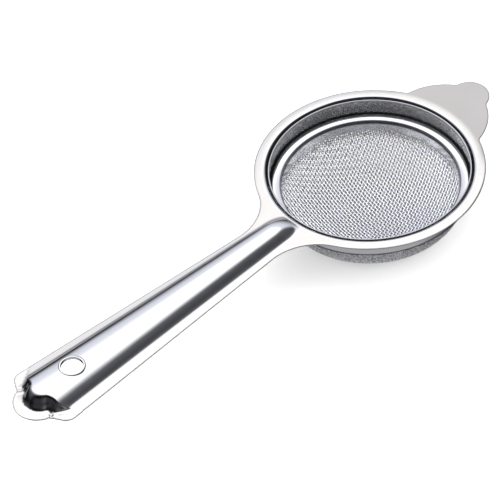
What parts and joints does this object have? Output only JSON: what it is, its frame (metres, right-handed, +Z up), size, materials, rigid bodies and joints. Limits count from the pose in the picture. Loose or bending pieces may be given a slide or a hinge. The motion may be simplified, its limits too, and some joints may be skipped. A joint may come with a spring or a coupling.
{
  "type": "tea strainer",
  "caption": "Stainless tea strainer with a ribbed scalloped handle, a rest ear, a fine woven bowl in a drawn collar and a lift-out coarse basket.",
  "frame": {"origin": "centre of the collar in the plane of the flange's underside, which rests on the cup", "axes": "+X from the ring's centre to the ear (handle along -X), +Z up along the collar's axis"},
  "size_m": [0.2156, 0.08, 0.0266],
  "materials": {
    "stamped_steel": "polished rib and collar, satin flange, handle border and ear",
    "binding_steel": "satin",
    "fine_wire": "fine woven stainless wire",
    "polished_ring": "polished",
    "coarse_wire": "coarse woven stainless wire"
  },
  "bodies": {
    "strainer": {"frame": "stamped_steel", "cloth_binding": "binding_steel", "fine_bowl": "fine_wire"},
    "basket": {"basket_ring": "polished_ring", "basket_clamp": "binding_steel", "basket_cloth": "coarse_wire"}
  },
  "joints": [
    {"name": "basket_lift", "type": "slide", "parent": "strainer", "child": "basket", "axis": [0, 0, 1], "range_m": [0, 0.03]}
  ]
}
